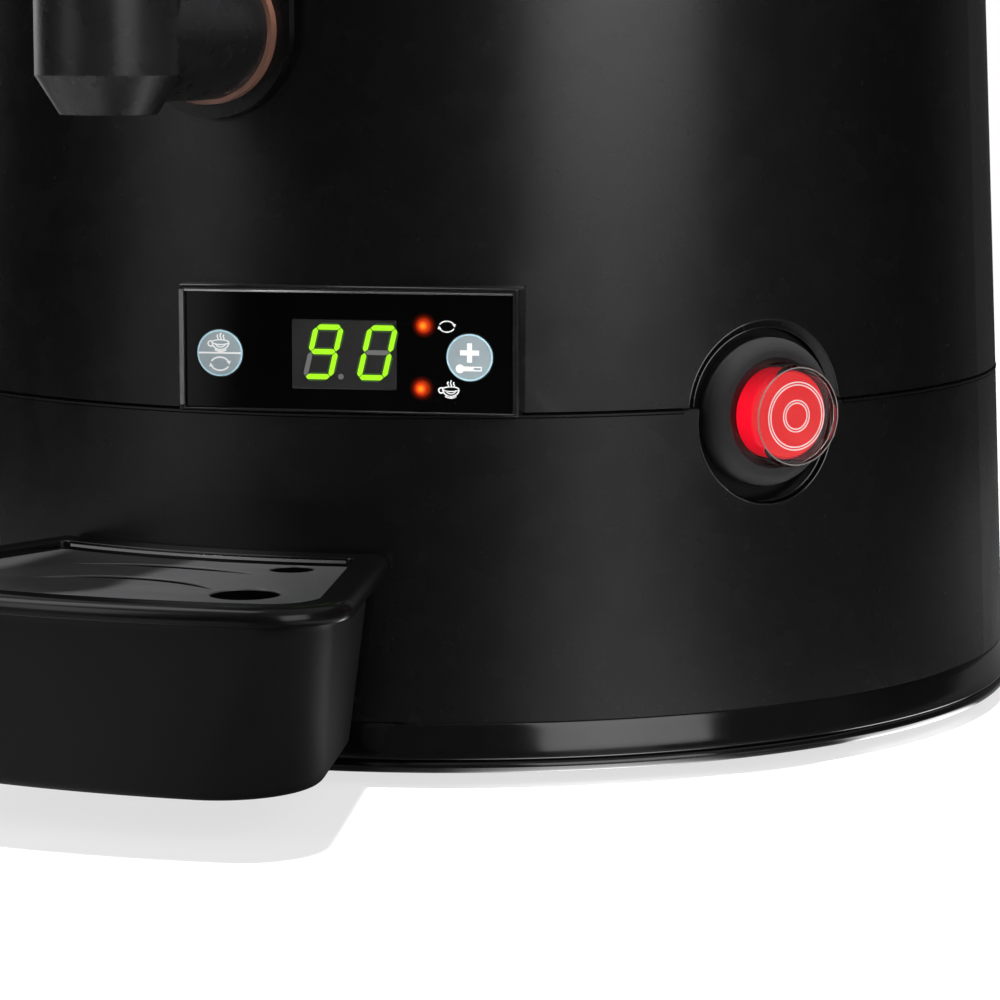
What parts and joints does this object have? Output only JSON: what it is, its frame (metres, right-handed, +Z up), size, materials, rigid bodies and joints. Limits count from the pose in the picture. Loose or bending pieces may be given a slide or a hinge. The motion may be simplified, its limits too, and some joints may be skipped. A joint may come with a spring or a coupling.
{
  "type": "hot chocolate dispenser",
  "caption": "Round black hot chocolate dispenser with a heated clear bowl, motor stirrer, lever tap, digital control panel, lit power switch and hanging drip tray.",
  "frame": {"origin": "middle of the footprint, on the surface that the feet stand on", "axes": "+Z up, -Y towards the user (tap and drip tray), +X to the user's right (power switch)"},
  "size_m": [0.2799, 0.354, 0.4103],
  "materials": {
    "shell_black": "satin moulded black",
    "band_black": "polished black",
    "panel_trim": "satin black",
    "panel_gloss": "mirror black",
    "display_grey": "dark grey",
    "lamp_red": "lit red",
    "key_grey": "printed grey blue",
    "board_green": "solder resist",
    "inner_black": "moulded black",
    "ring_grey": "matte dark grey",
    "button_red": "lit red",
    "cap_clear": "clear soft plastic",
    "tray_black": "gloss black",
    "tap_black": "satin black",
    "steel": "bare steel",
    "cast_metal": "cast",
    "bronze": "sintered bronze",
    "white_plastic": "natural acetal",
    "brown_insulator": "phenolic",
    "rubber": "matte black",
    "silicone": "silicone",
    "bowl_clear": "clear moulded plastic"
  },
  "bodies": {
    "machine": {"base_plate": "inner_black", "rubber_feet": "rubber", "foot_ring": "band_black", "lower_shell": "shell_black", "upper_shell": "shell_black", "collar_seal": "rubber", "panel_frame": "panel_trim", "panel_face": "panel_gloss", "display_module": "display_grey", "indicator_lamps": "lamp_red", "control_board": "board_green", "key_switches": "inner_black", "switch_ring": "ring_grey", "switch_body": "inner_black", "switch_nut": "steel", "deck_plate": "steel", "deck_screws": "steel", "gear_case": "cast_metal", "gear_cover": "cast_metal", "shaft_bushes": "bronze", "motor": "cast_metal", "heating_plate": "cast_metal", "heater_element": "cast_metal", "plate_posts": "white_plastic", "temp_probe": "steel", "thermal_cutout": "brown_insulator", "cable_gland": "inner_black", "gland_nut": "inner_black", "power_board": "board_green", "board_posts": "white_plastic", "base_screws": "steel"},
    "mode_key": {"mode_key": "key_grey"},
    "temp_key": {"temp_key": "key_grey"},
    "switch_plunger": {"switch_button": "button_red", "switch_cap": "cap_clear"},
    "tray": {"drip_tray": "tray_black"},
    "grid": {"tray_grid": "tray_black"},
    "shaft": {"drive_shaft": "steel", "drive_gear": "white_plastic"},
    "pinion": {"motor_pinion": "steel"},
    "bowl": {"bowl": "bowl_clear", "outlet_pipe": "bowl_clear", "shaft_seal": "silicone", "notch_cover": "shell_black", "pipe_gasket": "silicone", "tap_body": "tap_black", "tap_bonnet": "tap_black", "lever_pin": "steel", "tap_spring": "steel"},
    "stirrer": {"stirrer": "white_plastic"},
    "lid": {"lid": "shell_black", "lid_knob": "shell_black", "knob_screw": "steel"},
    "lever": {"tap_lever": "shell_black"},
    "piston": {"tap_piston": "white_plastic", "piston_seal": "silicone"}
  },
  "joints": [
    {"name": "switch_push", "type": "slide", "parent": "machine", "child": "switch_plunger", "axis": [-0.8059, 0.592, 0], "range_m": [0, 0.003], "stiffness_N_per_m": 700},
    {"name": "mode_key_push", "type": "slide", "parent": "machine", "child": "mode_key", "axis": [-0.1908, 0.9816, 0], "range_m": [0, 0.0006], "stiffness_N_per_m": 1500},
    {"name": "temp_key_push", "type": "slide", "parent": "machine", "child": "temp_key", "axis": [-0.1908, 0.9816, 0], "range_m": [0, 0.0006], "stiffness_N_per_m": 1500},
    {"name": "tray_pull", "type": "slide", "parent": "machine", "child": "tray", "axis": [0, -1, 0], "range_m": [0, 0.09]},
    {"name": "grid_lift", "type": "slide", "parent": "tray", "child": "grid", "axis": [0, 0, 1], "range_m": [0, 0.05]},
    {"name": "shaft_spin", "type": "hinge", "parent": "machine", "child": "shaft", "pos_m": [0, 0.037, 0.15], "axis": [0, 0, 1], "continuous": true},
    {"name": "pinion_spin", "type": "hinge", "parent": "machine", "child": "pinion", "pos_m": [0, 0.08975, 0.1], "axis": [0, 0, 1], "continuous": true},
    {"name": "bowl_lift", "type": "slide", "parent": "machine", "child": "bowl", "axis": [0, 0, 1], "range_m": [0, 0.075]},
    {"name": "stirrer_spin", "type": "hinge", "parent": "bowl", "child": "stirrer", "pos_m": [0, 0.037, 0.18], "axis": [0, 0, 1], "continuous": true},
    {"name": "lid_lift", "type": "slide", "parent": "bowl", "child": "lid", "axis": [0, 0, 1], "range_m": [0, 0.1]},
    {"name": "lever_pull", "type": "hinge", "parent": "bowl", "child": "lever", "pos_m": [0, -0.158, 0.216], "axis": [1, 0, 0], "range_deg": [0, 35]},
    {"name": "piston_lift", "type": "slide", "parent": "bowl", "child": "piston", "axis": [0, 0, 1], "range_m": [0, 0.0091], "stiffness_N_per_m": 40, "deforming": ["tap_spring"]}
  ],
  "couplings": [
    {"joint": "pinion_spin", "follows": "shaft_spin", "ratio": -4},
    {"joint": "stirrer_spin", "follows": "shaft_spin", "ratio": 1},
    {"joint": "lever_pull", "follows": "piston_lift", "rad_per_m": 67.1}
  ]
}
